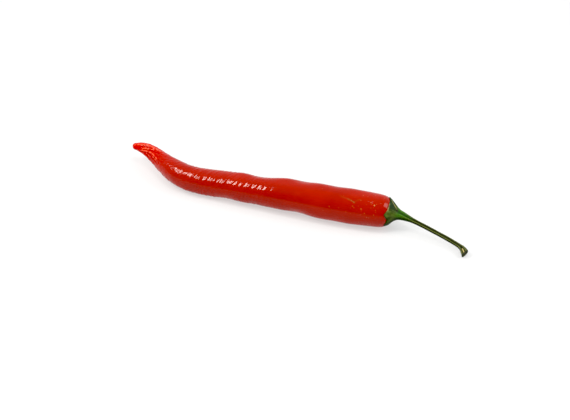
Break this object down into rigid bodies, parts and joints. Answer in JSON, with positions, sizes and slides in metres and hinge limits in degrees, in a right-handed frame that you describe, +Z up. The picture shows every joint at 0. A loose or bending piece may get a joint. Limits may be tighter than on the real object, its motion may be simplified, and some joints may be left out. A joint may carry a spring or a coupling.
{
  "type": "chilli pepper",
  "caption": "Long tapering red chilli pepper lying on its side, with a bent creased tip, a green toothed calyx and a cut green stem.",
  "frame": {"origin": "on the surface that the pepper lies on, under the middle of its box", "axes": "+X from the tip of the pod to the cut end of the stem, +Z up"},
  "size_m": [0.1992, 0.0352, 0.0184],
  "materials": {
    "flesh": "glossy waxy skin",
    "greens": "dull fibrous green"
  },
  "bodies": {
    "root": {"pod": "flesh", "calyx": "greens", "stem": "greens"}
  },
  "joints": []
}
